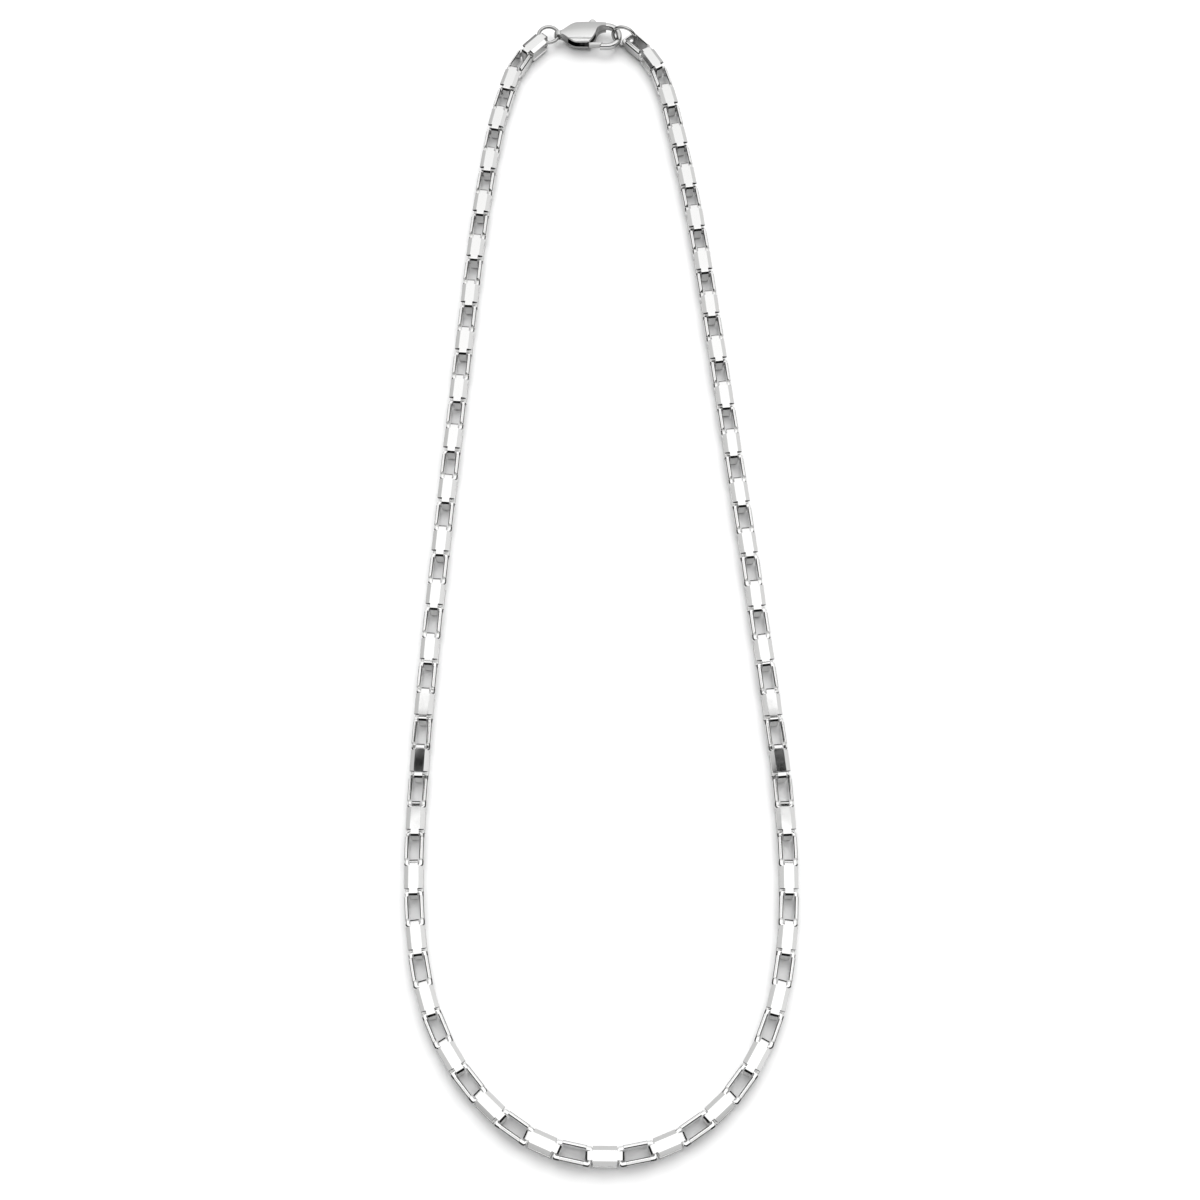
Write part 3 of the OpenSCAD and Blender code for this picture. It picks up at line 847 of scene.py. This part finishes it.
class NECKLACE_OT_lever(bpy.types.Operator):
    """Shapes the lever: its gate along the hook's tip, its hub, and the thumb tab on its arm"""
    bl_idname = "necklace.lever"
    bl_label = "Lever"

    def execute(self, context):
        s = context.scene.necklace_clasp
        metal = polished("polished_lever", s.colour, gloss=0.08, haze=0.05, bump=0.1)
        thick = s.slot / 2 - LEVER_PLAY
        pieces = [gate(s, thick)]

        hub = disc("hub", HUB, HUB_R, thick)
        bore(hub, 2, HUB_R - BORE_R, HUB, BORE_R)
        tidy_mesh()
        bpy.ops.object.mode_set(mode="OBJECT")
        soften(hub, 0.05, segments=4, angle=50)
        pieces.append(hub)

        tab = disc("thumb_tab", TAB, TAB_R, thick)
        tidy_mesh()
        bpy.ops.object.mode_set(mode="OBJECT")
        soften(tab, 0.25, segments=4, angle=50)
        pieces.append(tab)

        along = TAB - HUB
        arm = block("tab_arm", np.linspace(ARM_FROM, along.length, 4), lambda u: -ARM_HALF, lambda u: ARM_HALF,
                    ARM_THINNER - thick, thick - ARM_THINNER)
        bpy.ops.object.mode_set(mode="OBJECT")
        soften(arm, 0.06, segments=2, angle=50)
        arm.data.transform(Matrix.Translation(HUB) @ Matrix.Rotation(math.atan2(along.y, along.x), 4, "Z"))
        pieces.append(arm)

        lever = joined(pieces, "lever_gate")
        smooth(lever, 35)
        # The lever's faces inside the slot, back from where the body's near side ends, get the painted shade
        painted_shade_faces = [int(f.center.x < NEAR_LEN and f.center.y < s.width / 2) for f in lever.data.polygons]
        finish_piece(lever, CLASP_PLACE, metal)
        lever.data.materials.append(recessed_clasp(s))
        lever.data.polygons.foreach_set("material_index", painted_shade_faces)
        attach(lever, "lever")
        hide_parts("clasp_lever")
        pin = frame["nodes"]["clasp_pin"]
        pin.data.materials.clear()
        pin.data.materials.append(polished("polished_rivet", s.colour, gloss=0.12, haze=0.05, bump=0.1))
        return {"FINISHED"}


# Stage

# Light of the sky at an angle from straight up, in degrees: towards the near side, beside, and to the far side
NEAR_SKY = ((0, 1.5), (180, 1.2), (24, 1.5), (30, 1.25), (36, 0.95), (41, 0.78), (46, 0.6), (54, 0.03), (112, 0.03),
            (124, 1.2))
SIDE_SKY = ((0, 1.5), (180, 1.3), (24, 1.5), (30, 1.35), (36, 1.25), (42, 1.1), (48, 0.9), (66, 0.78), (70, 0.08),
            (114, 0.08), (121, 1.3))
FAR_SKY = ((0, 1.5), (180, 1.3), (24, 1.5), (30, 1.35), (36, 1.25), (42, 1.1), (48, 0.9), (68, 0.78), (80, 0.6),
           (84, 0.1), (108, 0.1), (121, 1.3))
# The near sky gives way to the one beside, and that to the far one, as Y over the level part of a direction rises:
# each pair is the factor and what is added to it
NEAR_TO_SIDE, SIDE_TO_FAR = (3.0, 1.8), (5.0, -2.5)
# How much lighter the sky is to the right
RIGHT_TINT = 0.17
# The black bar: where it crosses, as Y over Z of a direction, its half width and how sharp its edge is
BAR_AT, BAR_HALF, BAR_SHARP = 0.3565, 0.02, 150.0
# The point that the camera is aimed at
AIM = Vector((-0.00018, -0.01684, 0.0035))
FLOOR_R, FLOOR_DROP = 1.2, 0.00002
PAPER = (0.93, 0.93, 0.93, 1)
# The floor's reflections get painted shade from the first of these Y to the second and past it, which is by the clasp:
# glossy rays see it darker there
CLASP_FLOOR = (0.104, 0.111)
CLASP_REFLECTION_SHADE = (0.45, 0.45, 0.45, 1)
LAMP_POWER, LAMP_SPREAD, LAMP_LEAN = 1.6, math.radians(50), (math.radians(-38), math.radians(4), 0)


def sky(strength):
    """A white tent that darkens low down, soonest on the near side, with one thin black bar across it."""
    world = bpy.data.worlds.new("tent")
    bpy.context.scene.world = world
    world.use_nodes = True
    tree = world.node_tree
    x, y, z = axes_of(tree, "Generated")
    turn = math_node(tree, "DIVIDE", math_node(tree, "ARCCOSINE", z), math.pi)

    def ramp(stops):
        node = tree.nodes.new("ShaderNodeValToRGB")
        elements = node.color_ramp.elements
        for k, (degrees, level) in enumerate(stops):
            stop = elements[k] if k < 2 else elements.new(degrees / 180)
            stop.position = degrees / 180
            stop.color = (level, level, level, 1)
        tree.links.new(turn, node.inputs["Fac"])
        return node.outputs["Color"]

    across = math_node(tree, "SUBTRACT", 1.0, math_node(tree, "MULTIPLY", z, z))
    away = math_node(tree, "DIVIDE", y, math_node(tree, "SQRT", math_node(tree, "MAXIMUM", 0.0001, across)))
    tent = ramp(NEAR_SKY)
    for (factor, added), stops in ((NEAR_TO_SIDE, SIDE_SKY), (SIDE_TO_FAR, FAR_SKY)):
        share = math_node(tree, "ADD", math_node(tree, "MULTIPLY", away, factor), added, clamp=True)
        tent = mix_node(tree, "MIX", share, tent, ramp(stops))
    right = math_node(tree, "ADD", math_node(tree, "MULTIPLY", x, RIGHT_TINT), 1.0)
    tent = mix_node(tree, "MULTIPLY", 1.0, tent, right)
    slope = math_node(tree, "DIVIDE", y, math_node(tree, "MAXIMUM", z, 0.001))
    off = math_node(tree, "ABSOLUTE", math_node(tree, "SUBTRACT", slope, BAR_AT))
    bar = math_node(tree, "MULTIPLY", math_node(tree, "SUBTRACT", off, BAR_HALF), BAR_SHARP, clamp=True)
    lit = mix_node(tree, "MULTIPLY", 1.0, tent, bar)
    path = tree.nodes.new("ShaderNodeLightPath")
    background = tree.nodes["Background"]
    feed(tree, background.inputs["Color"], mix_node(tree, "MIX", path.outputs["Is Camera Ray"], lit, (1, 1, 1, 1)))
    background.inputs["Strength"].default_value = strength


def white_paper():
    """Matt white paper, evenly bright to the camera, with painted shade in its reflections by the clasp."""
    paper = bpy.data.materials.new("white_paper")
    paper.use_nodes = True
    tree = paper.node_tree
    shader = tree.nodes["Principled BSDF"]
    shader.inputs["Roughness"].default_value = 0.7
    shader.inputs["Specular IOR Level"].default_value = 0.2
    clasp_reflection_mask = tree.nodes.new("ShaderNodeMapRange")
    clasp_reflection_mask.inputs["From Min"].default_value, clasp_reflection_mask.inputs["From Max"].default_value = CLASP_FLOOR
    feed(tree, clasp_reflection_mask.inputs["Value"], axes_of(tree, "Object")["Y"])
    path = tree.nodes.new("ShaderNodeLightPath")
    # Only glossy rays see the painted shade
    seen = math_node(tree, "MULTIPLY", path.outputs["Is Glossy Ray"], clasp_reflection_mask.outputs["Result"])
    feed(tree, shader.inputs["Base Color"], mix_node(tree, "MIX", seen, PAPER, CLASP_REFLECTION_SHADE))
    return paper


class NECKLACE_OT_stage(bpy.types.Operator):
    """Sets the camera, the pale floor and the soft light"""
    bl_idname = "necklace.stage"
    bl_label = "Stage"

    def execute(self, context):
        s = context.scene.necklace_stage
        scene = context.scene
        data = bpy.data.cameras.new("camera")
        data.lens = s.lens
        data.sensor_width = 36
        data.clip_start = 0.01
        data.clip_end = 20
        camera = bpy.data.objects.new("camera", data)
        scene.collection.objects.link(camera)
        camera.location = AIM + s.distance * Vector((0, -math.sin(s.tilt), math.cos(s.tilt)))
        camera.rotation_euler = (s.tilt, 0, 0)
        scene.camera = camera

        clear_selection()
        bpy.ops.mesh.primitive_circle_add(vertices=64, radius=FLOOR_R, fill_type="NGON", location=(0, 0, 0))
        floor = context.object
        floor.name = "floor"
        floor.location.z = -FLOOR_DROP
        floor.data.materials.append(white_paper())

        sky(s.light)
        lamp = bpy.data.lights.new("soft_lamp", "SUN")
        lamp.energy = LAMP_POWER
        lamp.angle = LAMP_SPREAD
        sun = bpy.data.objects.new("soft_lamp", lamp)
        sun.rotation_euler = LAMP_LEAN
        sun.visible_glossy = False
        scene.collection.objects.link(sun)
        scene.view_settings.view_transform = "Standard"
        return {"FINISHED"}


class NECKLACE_PT_panel(bpy.types.Panel):
    """Lists the necklace's steps and sizes in the 3D view's sidebar"""
    bl_idname = "NECKLACE_PT_panel"
    bl_label = "Necklace"
    bl_space_type = "VIEW_3D"
    bl_region_type = "UI"
    bl_category = "Necklace"

    def draw(self, context):
        for step, group in STEPS:
            box = self.layout.box()
            box.operator(step.bl_idname)
            values = getattr(context.scene, group)
            for name in values.__annotations__:
                box.prop(values, name)


GROUPS = (
    ("necklace_links", NECKLACE_PG_links),
    ("necklace_rings", NECKLACE_PG_rings),
    ("necklace_clasp", NECKLACE_PG_clasp),
    ("necklace_stage", NECKLACE_PG_stage),
)
STEPS = (
    (NECKLACE_OT_chain, "necklace_links"),
    (NECKLACE_OT_rings, "necklace_rings"),
    (NECKLACE_OT_clasp, "necklace_clasp"),
    (NECKLACE_OT_lever, "necklace_clasp"),
    (NECKLACE_OT_stage, "necklace_stage"),
)
CLASSES = (*(group for _, group in GROUPS), *(step for step, _ in STEPS), NECKLACE_PT_panel)


def register():
    for cls in CLASSES:
        bpy.utils.register_class(cls)
    for name, group in GROUPS:
        setattr(bpy.types.Scene, name, bpy.props.PointerProperty(type=group))


def unregister():
    for name, _ in reversed(GROUPS):
        delattr(bpy.types.Scene, name)
    for cls in reversed(CLASSES):
        bpy.utils.unregister_class(cls)


def main():
    register()
    bpy.ops.necklace.chain()
    bpy.ops.necklace.rings()
    bpy.ops.necklace.clasp()
    bpy.ops.necklace.lever()
    bpy.ops.necklace.stage()


if __name__ == "__main__":
    main()
